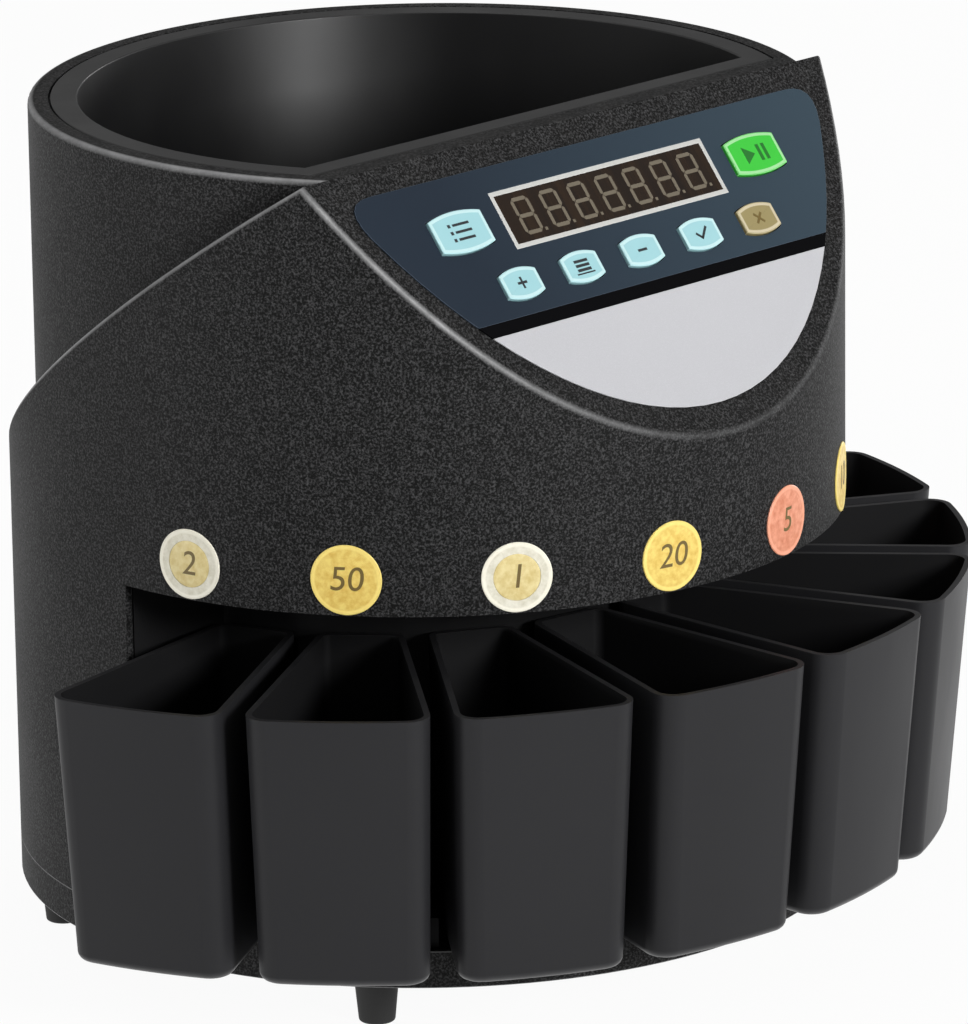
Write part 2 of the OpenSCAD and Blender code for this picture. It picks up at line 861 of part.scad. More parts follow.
// Outline of the panel's printed area, worked out from the slanted cut through a round wall
ov_r = body_r - overlay_inset;
ov_steps = 32;
ov_corner = 14;
function ov_half(y) = sqrt(pow(ov_r, 2) - pow(ridge_y - y * cos(panel_tilt), 2));
ov_low = -(ov_r - ridge_y) / cos(panel_tilt);
function ov_edge(a) = [ov_r * sin(a), (ridge_y - ov_r * cos(a)) / cos(panel_tilt)];
function ov_angle(y) = acos((ridge_y - y * cos(panel_tilt)) / ov_r);
ov_top_half = ov_half(-overlay_top);
function bend(a, b, c, t) = (1 - t) * (1 - t) * a + 2 * t * (1 - t) * b + t * t * c;
corner_steps = 6;
function ov_corner_points(side) = [for (k = [0 : corner_steps]) bend(
    [side * ov_half(-overlay_top - ov_corner), -overlay_top - ov_corner], [side * ov_top_half, -overlay_top],
    [side * (ov_top_half - ov_corner), -overlay_top], k / corner_steps)];
function reversed(list) = [for (k = [len(list) - 1 : -1 : 0]) list[k]];

module panel_area() {
    a = ov_angle(-overlay_top - ov_corner);
    polygon(concat(
        [for (k = [0 : ov_steps - 1]) ov_edge(-a + 2 * a * k / ov_steps)],
        ov_corner_points(1),
        reversed(ov_corner_points(-1))));
}

module panel_band(y0, y1) {
    intersection() {
        panel_area();
        translate([-big / 2, y0]) square([big, y1 - y0]);
    }
}

module keypad_overlay() {
    color("#2f3b4b") on_panel() linear_extrude(overlay_t) difference() {
        panel_band(-stripe_y, 0);
        key_holes(key_play);
        display_outline(0);
    }
}

module overlay_stripe() {
    color("#0b0b0d") on_panel() linear_extrude(overlay_t) panel_band(-stripe_y - stripe_w, -stripe_y);
}

module front_plate() {
    color("#cfcfd2") on_panel() linear_extrude(overlay_t) panel_band(-big, -stripe_y - stripe_w);
}

module display_frame() {
    color("#e8e8e4") on_panel() linear_extrude(overlay_t) difference() {
        display_outline(0);
        display_outline(frame_line);
    }
}

module display_window() {
    color("#2a1c0e") on_panel() linear_extrude(overlay_t) display_outline(frame_line);
}

module display_module() {
    color("#3a2c18") on_panel() translate([0, 0, board_z]) linear_extrude(-board_z)
        display_outline(frame_line + fit);
}

module panel_board() {
    color("#2e6b45") on_panel() translate([-board_w / 2, board_y0, board_z - board_t])
        cube([board_w, board_y1 - board_y0, board_t]);
}

// Parts of a key behind the panel
key_foot_t = 1.4;
key_foot_over = 1.2;
key_low = -wall - fit - key_foot_t;
cap_r = 3;
cap_gap = 0.1;

module key_places() {
    for (side = [-1, 1]) translate([side * big_key_x, -display_y, 0]) children();
    for (k = [0 : len(small_keys) - 1]) translate([key_x(k), -row_y, 0]) children();
}

module key_switches() {
    color("#b8babd") on_panel() key_places() translate([0, 0, board_z])
        cylinder(r = cap_r, h = key_low - key_travel - cap_gap - board_z);
}

module key_cap(x, y, w, h) {
    on_panel() translate([x, y, key_low]) {
        linear_extrude(overlay_t + key_proud - key_low) key_outline(w, h, key_bow);
        linear_extrude(key_foot_t) key_outline(w + 2 * key_foot_over, h + 2 * key_foot_over, key_bow);
    }
}

module key_report() {
    color("#c5f3f7") key_cap(-big_key_x, -display_y, big_key_w, big_key_h);
}

module key_start() {
    color("#4fe04f") key_cap(big_key_x, -display_y, big_key_w, big_key_h);
}

module small_key(k) {
    color(k == 4 ? "#b5a878" : "#c5f3f7") key_cap(key_x(k), -row_y, key_w, key_h);
}

// Coin badges round the skirt

centre_r = 7.8;
badge_lift = 0.4;
badge_z = skirt_z + badge_d / 2 + badge_lift;
badge_reach = 5;

// Disc or ring laid on the round skirt over a drawer
module badge(i, r0, r1) {
    intersection() {
        at_angle(slot_angle(i)) translate([body_r - badge_reach, 0, badge_z]) rotate([0, 90, 0])
            difference() {
                cylinder(r = r1, h = 2 * badge_reach);
                if (r0 > 0) translate([0, 0, -cut]) cylinder(r = r0, h = 2 * badge_reach + 2 * cut);
            }
        on_axis() difference() {
            cylinder(r = body_r + badge_t, h = rim_z);
            translate([0, 0, -cut]) cylinder(r = body_r, h = rim_z + 2 * cut);
        }
    }
}

module badges_gold() {
    color("#e0c05a") for (i = [2, 4, 6]) badge(i, 0, badge_d / 2);
}

module badges_copper() {
    color("#d88a6a") for (i = [5, 7, 8]) badge(i, 0, badge_d / 2);
}

module badge_rims() {
    color("#d8d4c4") for (i = [1, 3]) badge(i, centre_r, badge_d / 2);
}

module badge_centres() {
    color("#e6cf86") for (i = [1, 3]) badge(i, 0, centre_r);
}

// Drawers

// Plan of a drawer: sides along the gap to its neighbours, a round front and rounded corners
half_step = fan_step / 2;
front_steps = 4;
slice = 0.01;
function side_at(x, gap) = x * tan(half_step) - gap / 2 / cos(half_step);

module drawer_plan(r, r_in, gap, round_r) {
    inner = r_in + round_r / 2;
    front = r - round_r;
    front_y = side_at(front, gap) - round_r / cos(half_step);
    hull() {
        for (side = [-1, 1]) {
            translate([sqrt(pow(front, 2) - pow(front_y, 2)), side * front_y])
                circle(round_r, $fn = 32);
            translate([inner, side * (side_at(inner, gap) - round_r / 2 / cos(half_step))])
                circle(round_r / 2, $fn = 16);
        }
        polygon([for (k = [-front_steps : front_steps])
            let (a = k / front_steps * atan(front_y / front)) r * [cos(a), sin(a)]]);
    }
}

module drawer_form(inset, z0, z1) {
    share = (z0 - drawer_z) / drawer_h;
    low_r = drawer_r - drawer_lean * (1 - share) - inset;
    low_gap = drawer_gap + 2 * side_lean * (1 - share) + 2 * inset;
    hull() {
        translate([0, 0, z0]) linear_extrude(slice)
            drawer_plan(low_r, drawer_in + inset, low_gap, corner_r - inset);
        translate([0, 0, z1 - slice]) linear_extrude(slice)
            drawer_plan(drawer_r - inset, drawer_in + inset, drawer_gap + 2 * inset, corner_r - inset);
    }
}

module drawer(i) {
    color("#2a2a2b") on_fan(drawer_angle(i)) difference() {
        drawer_form(0, drawer_z, drawer_top);
        drawer_form(drawer_wall, drawer_z + drawer_wall, drawer_top + 2 * slice);
    }
}

base_tray();
feet();
base_screws();
drawer_deck();
bay_wall();
bay_sides();
main_housing();
rear_shell();
rear_panel();
hopper_bowl();
sorting_ring();
disc_floor();
coin_chutes();
coin_sensors();
coin_disc();
disc_mat();
disc_cone();
disc_shaft();
shaft_bushes();
drive_gear();
motor_bracket();
motor();
motor_pinion();
main_board();
board_parts();
transformer_core();
transformer_coil();
power_inlet();
inlet_pins();
switch_frame();
switch_rocker();
keypad_overlay();
overlay_stripe();
front_plate();
display_frame();
display_window();
display_module();
panel_board();
key_switches();
key_report();
key_start();
for (k = [0 : len(small_keys) - 1]) small_key(k);
badges_gold();
badges_copper();
badge_rims();
badge_centres();
for (i = [1 : drawer_count]) drawer(i);
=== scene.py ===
import json
import math

import bmesh
import bpy
from mathutils import Matrix, Vector


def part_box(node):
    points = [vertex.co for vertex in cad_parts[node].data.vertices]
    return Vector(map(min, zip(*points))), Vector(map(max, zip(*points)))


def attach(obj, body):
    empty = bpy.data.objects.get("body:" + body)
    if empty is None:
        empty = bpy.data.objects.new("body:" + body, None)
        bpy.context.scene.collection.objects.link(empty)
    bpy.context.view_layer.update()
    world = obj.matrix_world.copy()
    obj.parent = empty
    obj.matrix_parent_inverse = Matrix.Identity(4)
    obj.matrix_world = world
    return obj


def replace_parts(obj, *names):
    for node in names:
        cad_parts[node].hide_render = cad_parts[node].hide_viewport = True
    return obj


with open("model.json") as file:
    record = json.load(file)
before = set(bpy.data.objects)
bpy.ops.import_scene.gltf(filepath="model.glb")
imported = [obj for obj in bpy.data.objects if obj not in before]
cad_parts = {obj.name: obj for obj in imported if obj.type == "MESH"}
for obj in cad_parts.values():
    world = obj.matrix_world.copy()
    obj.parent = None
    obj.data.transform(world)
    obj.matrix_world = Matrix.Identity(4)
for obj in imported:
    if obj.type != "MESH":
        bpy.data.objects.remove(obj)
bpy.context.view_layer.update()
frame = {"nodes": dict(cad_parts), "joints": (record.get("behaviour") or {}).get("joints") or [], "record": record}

MM = 0.001
PHOTO_SIZE = (968, 1024)

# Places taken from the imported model
nodes = frame["nodes"]
joints = {joint["name"]: joint for joint in frame["joints"]}
slots = {part["node"]: part["material_slot"] for part in frame["record"]["subparts"]}
bodies = frame["record"]["behaviour"]["bodies"]
node_body = {node: body for body, members in bodies.items() for node in members}
machine = node_body["main_housing"]

ACROSS = Vector((1, 0, 0))
panel_out = -Vector(joints["key_start_press"]["axis"])
panel_up = panel_out.cross(ACROSS)
panel_turn = Matrix((ACROSS, panel_up, panel_out)).transposed().to_4x4()

tray_low, tray_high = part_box("base_tray")
body_r = (tray_high.x - tray_low.x) / 2
axis_y = (tray_low.y + tray_high.y) / 2
rim_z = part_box("main_housing")[1].z
BADGE_CLEAR = 0.4 * MM
skirt_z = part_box("badges_gold")[0].z - BADGE_CLEAR
DRAWER_COUNT = 8


def span(node, direction):
    """Least and greatest reach of a CAD node along a direction."""
    reach = [vertex.co.dot(direction) for vertex in nodes[node].data.vertices]
    return min(reach), max(reach)


def panel_place(node):
    """Matrix at the middle of a panel node's outer face: X across, Y up the slope, Z out."""
    across, up = (sum(span(node, axis)) / 2 for axis in (ACROSS, panel_up))
    origin = ACROSS * across + panel_up * up + panel_out * span(node, panel_out)[1]
    return Matrix.Translation(origin) @ panel_turn


def radius_of(point):
    """Distance of a point from the machine's axis."""
    return math.hypot(point.x, point.y - axis_y)


# Shader node helpers
def paint(code):
    """Linear colour of a hexadecimal screen colour."""
    channels = [int(code[k:k + 2], 16) / 255 for k in (1, 3, 5)]
    return tuple(c / 12.92 if c <= 0.04045 else ((c + 0.055) / 1.055) ** 2.4 for c in channels) + (1,)


def scaled(colour, times, plus=0.0):
    """Colour made darker or paler."""
    return tuple(min(1.0, times * c + plus) for c in colour[:3]) + (1,)


def add(tree, kind, inputs=None, **settings):
    """New shader node, with its settings and its inputs set to values or linked to sockets."""
    node = tree.nodes.new("ShaderNode" + kind)
    for key, value in settings.items():
        setattr(node, key, value)
    for key, value in (inputs or {}).items():
        if isinstance(value, bpy.types.NodeSocket):
            tree.links.new(value, node.inputs[key])
        else:
            node.inputs[key].default_value = value
    return node


def maths(tree, operation, first, second=0.0):
    """Result of a sum on one or two values."""
    return add(tree, "Math", {0: first, 1: second}, operation=operation).outputs[0]


def ramp(tree, value, low, high, to_low=0.0, to_high=1.0):
    """Value carried from one range to another, held at its ends."""
    inputs = {"Value": value, "From Min": low, "From Max": high, "To Min": to_low, "To Max": to_high}
    return add(tree, "MapRange", inputs).outputs["Result"]


def blend(tree, share, first, second):
    """Colour between two colours."""
    mixer = add(tree, "Mix", data_type="RGBA")
    for socket, value in ((mixer.inputs[0], share), (mixer.inputs[6], first), (mixer.inputs[7], second)):
        if isinstance(value, bpy.types.NodeSocket):
            tree.links.new(value, socket)
        else:
            socket.default_value = value
    return mixer.outputs[2]


def noise(tree, where, scale, detail=2.0, roughness=0.5):
    """Value of a noise texture."""
    inputs = {"Vector": where, "Scale": scale, "Detail": detail, "Roughness": roughness}
    return add(tree, "TexNoise", inputs).outputs[0]


def object_place(tree, stretch=(1, 1, 1), shift=(0, 0, 0)):
    """Object coordinates, shifted and then stretched."""
    place = add(tree, "TexCoord").outputs["Object"]
    moved = add(tree, "VectorMath", {0: place, 1: shift}, operation="ADD").outputs[0]
    return add(tree, "VectorMath", {0: moved, 1: stretch}, operation="MULTIPLY").outputs[0]


# Effects that several finishes share
def new_group(name, inputs, outputs):
    """New group of shader nodes, with its input and output nodes."""
    group = bpy.data.node_groups.new(name, "ShaderNodeTree")
    for label, value in inputs.items():
        socket = group.interface.new_socket(label, in_out="INPUT", socket_type="NodeSocketFloat")
        socket.default_value = value
    for label in outputs:
        group.interface.new_socket(label, in_out="OUTPUT", socket_type="NodeSocketFloat")
    return group, group.nodes.new("NodeGroupInput"), group.nodes.new("NodeGroupOutput")


def place_group(tree, group, **values):
    """Outputs of a group placed in a material."""
    node = tree.nodes.new("ShaderNodeGroup")
    node.node_tree = group
    for label, value in values.items():
        node.inputs[label].default_value = value
    return node.outputs


def moulded_grain():
    """Fine spark texture of a mould: its height, light flecks on its peaks that on the spark black are partly
    painted glints, and a slow drift of tone.
    """
    group, given, result = new_group("moulded_grain", {"Scale": 1500.0}, ("Height", "Fleck", "Drift"))
    where = object_place(group)
    scale = given.outputs["Scale"]
    grain = noise(group, where, scale, 2.0, 0.6)
    pits = add(group, "TexVoronoi", {"Vector": where, "Scale": scale}).outputs["Distance"]
    height = maths(group, "ADD", maths(group, "MULTIPLY", grain, 0.7),
                   maths(group, "MULTIPLY", pits, -0.4))
    coarse = noise(group, where, scale, 2.0, 0.7)
    group.links.new(height, result.inputs["Height"])
    group.links.new(ramp(group, coarse, 0.45, 0.75), result.inputs["Fleck"])
    group.links.new(noise(group, where, 14.0, 3.0), result.inputs["Drift"])
    return group


def edge_rub_and_highlight():
    """Mask of the rounded edges, for their rubbed wear and for a painted highlight along them, broken up in
    patches where hands have rubbed them.
    """
    group, given, result = new_group("edge_rub_and_highlight", {"Break": 0.3}, ("Mask",))
    edge = add(group, "Attribute", attribute_name="rub_and_highlight").outputs["Fac"]
    patches = ramp(group, noise(group, object_place(group), 120.0, 4.0, 0.65), 0.35, 0.65)
    kept = maths(group, "SUBTRACT", 1.0, given.outputs["Break"])
    broken = maths(group, "ADD", maths(group, "MULTIPLY", patches, given.outputs["Break"]), kept)
    group.links.new(maths(group, "MULTIPLY", edge, broken), result.inputs["Mask"])
    return group


def dust_film():
    """Thin dust on what faces up."""
    group, given, result = new_group("dust_film", {"Scale": 90.0}, ("Mask",))
    normal = add(group, "TexCoord").outputs["Normal"]
    upright = add(group, "SeparateXYZ", {0: normal}).outputs["Z"]
    patches = noise(group, object_place(group), given.outputs["Scale"], 5.0, 0.6)
    mask = maths(group, "MULTIPLY", ramp(group, upright, 0.3, 1.0), ramp(group, patches, 0.35, 0.75))
    group.links.new(mask, result.inputs["Mask"])
    return group


def hand_marks():
    """Faint smears that change the gloss."""
    group, given, result = new_group("hand_marks", {"Scale": 30.0}, ("Mask",))
    where = object_place(group, (1.0, 1.0, 0.45))
    smear = noise(group, where, given.outputs["Scale"], 4.0, 0.55)
    group.links.new(ramp(group, smear, 0.42, 0.7), result.inputs["Mask"])
    return group


GRAIN = moulded_grain()
RUB_AND_HIGHLIGHT = edge_rub_and_highlight()
DUST = dust_film()
MARKS = hand_marks()


# Finishes
def blank(name, **fixed):
    """New material with a shader whose constant sockets are set."""
    material = bpy.data.materials.new(name)
    material.use_nodes = True
    tree = material.node_tree
    shader = tree.nodes["Principled BSDF"]
    for label, value in fixed.items():
        shader.inputs[label.replace("_", " ")].default_value = value
    return material, tree, shader


def shade(tree, shader, **sockets):
    """Link surface values to the shader's sockets."""
    for label, socket in sockets.items():
        tree.links.new(socket, shader.inputs[label.replace("_", " ")])


def bumped(tree, height, depth, strength=1.0):
    """Normal of a bump of a given depth in metres."""
    inputs = {"Height": height, "Distance": depth, "Strength": strength}
    return add(tree, "Bump", inputs).outputs["Normal"]


DUST_COLOUR = paint("#8b8781")
RUBBED_ROUGHNESS = 0.35
RUBBED_GRAIN = 0.2


def plastic(name, colour, roughness, grain=1500.0, depth=0.05, fleck=0.0, fleck_and_glint_colour="#77777a",
            rub_and_highlight=0.2, wear_and_highlight_colour=None, dust=0.04, smear=0.0, sheen=0.5, edge_sheen=0.5):
    """Moulded plastic: grain and flecks (partly painted glints), edges rubbed smooth and lighter (partly a painted
    highlight), a little dust and smears in its gloss.
    """
    material, tree, shader = blank(name)
    surface = place_group(tree, GRAIN, Scale=grain)
    base = paint(colour)
    tone = blend(tree, surface["Drift"], scaled(base, 0.86), scaled(base, 1.1))
    # Light flecks: grain, and on the spark black partly painted glints
    tone = blend(tree, maths(tree, "MULTIPLY", surface["Fleck"], fleck), tone, paint(fleck_and_glint_colour))
    # Lighter colour of the rounded edges: rubbed wear, and a painted highlight where a pale edge colour is given
    worn = paint(wear_and_highlight_colour) if wear_and_highlight_colour else scaled(base, 1.5, 0.05)
    edge = place_group(tree, RUB_AND_HIGHLIGHT)["Mask"]
    tone = blend(tree, maths(tree, "MULTIPLY", edge, rub_and_highlight), tone, worn)
    film = place_group(tree, DUST)["Mask"]
    tone = blend(tree, maths(tree, "MULTIPLY", film, dust), tone, DUST_COLOUR)
    marks = place_group(tree, MARKS)["Mask"]
    gloss = ramp(tree, surface["Drift"], 0.3, 0.7, roughness - 0.04, roughness + 0.04)
    gloss = maths(tree, "ADD", gloss, maths(tree, "MULTIPLY", marks, smear))
    gloss = add(tree, "Mix", {0: edge, 2: gloss, 3: RUBBED_ROUGHNESS}).outputs[0]
    shine = ramp(tree, edge, 0.0, 1.0, sheen, edge_sheen)
    grain_kept = ramp(tree, edge, 0.0, 1.0, 1.0, RUBBED_GRAIN)
    shade(tree, shader, Base_Color=tone, Roughness=gloss, Specular_IOR_Level=shine,
          Normal=bumped(tree, surface["Height"], depth * MM, grain_kept))
    return material


def metal(name, colour, roughness, stretch=(1, 1, 1), scale=900.0, depth=0.01):
    """Bare metal with a grain drawn out along one direction."""
    material, tree, shader = blank(name, Metallic=1.0)
    lines = noise(tree, object_place(tree, stretch), scale, 3.0, 0.6)
    drift = place_group(tree, GRAIN, Scale=400.0)["Drift"]
    base = paint(colour)
    dull = scaled(base, 0.72)
    tone = blend(tree, ramp(tree, lines, 0.25, 0.75), dull, base)
    tone = blend(tree, maths(tree, "MULTIPLY", drift, 0.25), tone, dull)
    gloss = ramp(tree, lines, 0.3, 0.7, roughness - 0.08, roughness + 0.08)
    shade(tree, shader, Base_Color=tone, Roughness=gloss, Normal=bumped(tree, lines, depth * MM))
    return material


def turned_metal(name, colour, roughness, pitch):
    """Metal faced on a lathe about the machine's axis."""
    material, tree, shader = blank(name, Metallic=1.0)
    where = object_place(tree, (1, 1, 0), (0, -axis_y, 0))
    distance = add(tree, "VectorMath", {0: where}, operation="LENGTH").outputs["Value"]
    ring = maths(tree, "SINE", maths(tree, "MULTIPLY", distance, 2 * math.pi / pitch))
    scuffs = noise(tree, object_place(tree), 260.0, 5.0, 0.65)
    base = paint(colour)
    tone = blend(tree, ramp(tree, scuffs, 0.35, 0.7), base, scaled(base, 0.6))
    gloss = ramp(tree, scuffs, 0.3, 0.7, roughness - 0.08, roughness + 0.12)
    shade(tree, shader, Base_Color=tone, Roughness=gloss, Normal=bumped(tree, ring, 0.006 * MM))
    return material


def pimpled_rubber(name, colour, pitch):
    """Rubber sheet with a grid of small pimples and rubbed tops."""
    material, tree, shader = blank(name)
    where = object_place(tree, (1, 1, 0))
    cells = add(tree, "TexVoronoi", {"Vector": where, "Scale": 1 / pitch, "Randomness": 0.0})
    pimple = ramp(tree, cells.outputs["Distance"], 0.15, 0.4, 1.0, 0.0)
    dust = place_group(tree, DUST)["Mask"]
    base = paint(colour)
    tone = blend(tree, maths(tree, "MULTIPLY", pimple, 0.4), base, paint("#5c5c60"))
    tone = blend(tree, maths(tree, "MULTIPLY", dust, 0.2), tone, DUST_COLOUR)
    gloss = ramp(tree, pimple, 0.0, 1.0, 0.8, 0.55)
    shade(tree, shader, Base_Color=tone, Roughness=gloss, Normal=bumped(tree, pimple, 0.4 * MM))
    return material


def layered(name, colours, roughness, direction, pitch, metallic=0.0):
    """Stacked sheets or wound wire: bands across one direction."""
    material, tree, shader = blank(name, Metallic=metallic)
    place = add(tree, "TexCoord").outputs["Object"]
    along = add(tree, "VectorMath", {0: place, 1: direction}, operation="DOT_PRODUCT").outputs["Value"]
    band = maths(tree, "SINE", maths(tree, "MULTIPLY", along, 2 * math.pi / pitch))
    drift = place_group(tree, GRAIN, Scale=800.0)["Drift"]
    tone = blend(tree, ramp(tree, band, -1.0, 1.0), paint(colours[0]), paint(colours[1]))
    tone = blend(tree, maths(tree, "MULTIPLY", drift, 0.3), tone, paint(colours[0]))
    gloss = ramp(tree, drift, 0.3, 0.7, roughness - 0.05, roughness + 0.05)
    shade(tree, shader, Base_Color=tone, Roughness=gloss, Normal=bumped(tree, band, 0.08 * MM))
    return material


def circuit_board(name):
    """Solder mask over copper tracks."""
    material, tree, shader = blank(name)
    where = object_place(tree)
    cells = add(tree, "TexVoronoi", {"Vector": where, "Scale": 260.0}, distance="MANHATTAN")
    track = ramp(tree, cells.outputs["Distance"], 0.32, 0.36)
    tone = blend(tree, track, paint("#1f5c39"), paint("#2f7a4c"))
    gloss = ramp(tree, track, 0.0, 1.0, 0.28, 0.36)
    shade(tree, shader, Base_Color=tone, Roughness=gloss, Normal=bumped(tree, track, 0.05 * MM))
    return material


def printed_film(name, colour, roughness, edge_colour, grain=4200.0, depth=0.012, fleck=0.12,
                 painted_reflection_colour=None, **fixed):
    """Printed film: a colour that may turn paler to the right as a painted reflection, a fine matt grain and a
    pale cut edge.
    """
    material, tree, shader = blank(name, **fixed)
    surface = place_group(tree, GRAIN, Scale=grain)
    base = paint(colour)
    pale = scaled(base, 1.1, 0.004)
    tone = blend(tree, surface["Drift"], scaled(base, 0.9), base)
    tone = blend(tree, maths(tree, "MULTIPLY", surface["Fleck"], fleck), tone, pale)
    # Painted reflection: the film's colour grows paler towards the right
    if painted_reflection_colour:
        place = add(tree, "TexCoord").outputs["Object"]
        along = add(tree, "SeparateXYZ", {0: place}).outputs["X"]
        tone = blend(tree, ramp(tree, along, -body_r / 2, body_r * 0.75), tone, paint(painted_reflection_colour))
    edge = place_group(tree, RUB_AND_HIGHLIGHT, Break=0.2)["Mask"]
    tone = blend(tree, maths(tree, "MULTIPLY", edge, 0.6), tone, paint(edge_colour))
    gloss = ramp(tree, surface["Drift"], 0.3, 0.7, roughness - 0.03, roughness + 0.03)
    normal = bumped(tree, surface["Height"], depth * MM)
    shade(tree, shader, Base_Color=tone, Roughness=gloss, Normal=normal)
    return material


def smoked_window(name):
    """Smoked plastic over a display: brown depth with faint upright streaks under a clear coat."""
    material, tree, shader = blank(name, Specular_IOR_Level=0.2, Coat_Weight=0.12, Coat_Roughness=0.1)
    streaks = noise(tree, object_place(tree, (1.0, 0.05, 0.05)), 240.0, 3.0, 0.6)
    tone = blend(tree, ramp(tree, streaks, 0.35, 0.7), paint("#160d07"), paint("#27190b"))
    gloss = ramp(tree, streaks, 0.3, 0.7, 0.22, 0.3)
    shade(tree, shader, Base_Color=tone, Roughness=gloss)
    return material


def coin_print(name, colour, deep_colour):
    """Printed coin sticker: a raised border, worn tone inside it and fine rings."""
    material, tree, shader = blank(name, Specular_IOR_Level=0.4)
    ring = add(tree, "Attribute", attribute_name="ring").outputs["Fac"]
    border = ramp(tree, ring, 0.86, 0.9)
    lines = maths(tree, "SINE", maths(tree, "MULTIPLY", ring, 150.0))
    worn = noise(tree, object_place(tree), 420.0, 4.0, 0.6)
    base = paint(colour)
    tone = blend(tree, ramp(tree, worn, 0.35, 0.7), base, paint(deep_colour))
    tone = blend(tree, maths(tree, "MULTIPLY", border, 0.7), tone, scaled(base, 1.15, 0.03))
    gloss = ramp(tree, worn, 0.3, 0.7, 0.3, 0.42)
    shade(tree, shader, Base_Color=tone, Roughness=gloss, Normal=bumped(tree, lines, 0.01 * MM))
    return material


FINISH = {
    # The spark black's light flecks are partly painted glints, and its pale edge colour is a painted highlight on
    # the housing's creases and rim
    "textured_black": plastic("spark_black", "#0b0b0b", 0.58, 1300.0, 0.16, 0.9, "#515152", rub_and_highlight=0.8,
                              wear_and_highlight_colour="#a2a2a3", sheen=0.12, edge_sheen=0.8),
    "bowl_black": plastic("satin_bowl_black", "#0c0c0d", 0.36, 2600.0, 0.012, smear=0.06, dust=0.02),
    "drawer_black": plastic("gloss_drawer_black", "#262628", 0.42, 2600.0, 0.008, smear=0.06, dust=0.03,
                            sheen=0.18),
    "inner_grey": plastic("matt_bay_grey", "#1a1a1b", 0.6, 1500.0, 0.04, dust=0.02, sheen=0.1),
    "foot_rubber": plastic("foot_rubber", "#171717", 0.75, 1300.0, 0.06, rub_and_highlight=0.3, dust=0.1),
    "plate_grey": plastic("plate_grey", "#55575a", 0.45, 1700.0, 0.02, rub_and_highlight=0.3),
    "gear_nylon": plastic("gear_nylon", "#d2cfc6", 0.45, 1500.0, 0.02),
    "chip_black": plastic("chip_black", "#26282a", 0.5, 1900.0, 0.03),
    "fitting_black": plastic("fitting_black", "#141415", 0.33, 2400.0, 0.012, rub_and_highlight=0.3),
    "frame_white": printed_film("frame_line_white", "#c6c6c2", 0.4, "#f0f0ee"),
    # The overlay's paler right side is a painted reflection
    "overlay_blue": printed_film("overlay_blue_grey", "#212b37", 0.45, "#6a7583", painted_reflection_colour="#35444f",
                                 Specular_IOR_Level=0.15),
    "stripe_black": printed_film("stripe_black", "#08080a", 0.45, "#1c1c20", Specular_IOR_Level=0.03),
    "plate_silver": printed_film("front_silver", "#bebec2", 0.4, "#e4e4e6", 3000.0, 0.012, 0.7),
    "display_smoke": smoked_window("smoked_window"),
    "key_cyan": printed_film("key_pale_cyan", "#9fced4", 0.4, "#cdeff2", Specular_IOR_Level=0.3),
    "key_green": printed_film("key_green", "#3dc23d", 0.4, "#a6e8a2", Specular_IOR_Level=0.3),
    "key_tan": printed_film("key_tan", "#978a5e", 0.4, "#cabf9c", Specular_IOR_Level=0.3),
    "steel": metal("plain_steel", "#b4b6b8", 0.32, (1, 1, 0.15)),
    "bush_brass": metal("turned_brass", "#c39a4e", 0.3, (0.2, 0.2, 1)),
    "motor_zinc": metal("plated_zinc", "#93979c", 0.38, (1, 1, 0.2)),
    "disc_metal": turned_metal("turned_disc", "#9fa2a6", 0.34, 0.9 * MM),
    "mat_rubber": pimpled_rubber("pimpled_mat", "#1f2023", 3.2 * MM),
    "core_iron": layered("laminated_core", ("#3a3c40", "#5a5d62"), 0.45, (0, 1, 0), 0.7 * MM, 0.8),
    "coil_copper": layered("wound_coil", ("#7a4a1c", "#b9782f"), 0.35, (0, 0, 1), 0.6 * MM, 0.4),
    "board_green": circuit_board("solder_mask"),
    "badge_gold": coin_print("coin_gold", "#f0d676", "#dab352"),
    "badge_copper": coin_print("coin_copper", "#e79c7d", "#cd7956"),
    "badge_silver": coin_print("coin_silver", "#ece8d8", "#d3ceb8"),
}
KEY_EDGE = {
    "key_cyan": printed_film("key_border_cyan", "#c4e4e6", 0.4, "#dcf4f5", Specular_IOR_Level=0.3),
    "key_green": printed_film("key_border_green", "#9fdc9b", 0.4, "#c8ecc4", Specular_IOR_Level=0.3),
    "key_tan": printed_film("key_border_tan", "#ccc0a2", 0.4, "#dcd2b8", Specular_IOR_Level=0.3),
}
# Inside of the drawers: duller, and darker than the outside as painted shade
DRAWER_INSIDE_SHADED = plastic("drawer_inside_shaded_black", "#1c1c1d", 0.5, 2600.0, 0.008, dust=0.02, sheen=0.1)
SHADED_BLACK = plastic("shaded_chute_black", "#0a0a0a", 0.6, 1300.0, 0.05, dust=0.02, sheen=0.1)
DARK_INK = printed_film("dark_ink", "#23282c", 0.5, "#3a4046")
GREEN_INK = printed_film("green_ink", "#12701c", 0.5, "#2b8a34")
BROWN_INK = printed_film("brown_ink", "#6d5a28", 0.5, "#8a743a")
WHITE_INK = printed_film("white_ink", "#e6e6e4", 0.5, "#f6f6f4")
SEGMENT_GREY = printed_film("segment_grey", "#6f6759", 0.45, "#857c6c", Specular_IOR_Level=0.2)
PALE_GOLD = coin_print("coin_pale_gold", "#e9d9a0", "#d5be7a")


# Softened copies of the CAD pieces
MERGE = 0.002 * MM
SHARP = math.radians(38)
FLAT = math.radians(0.4)


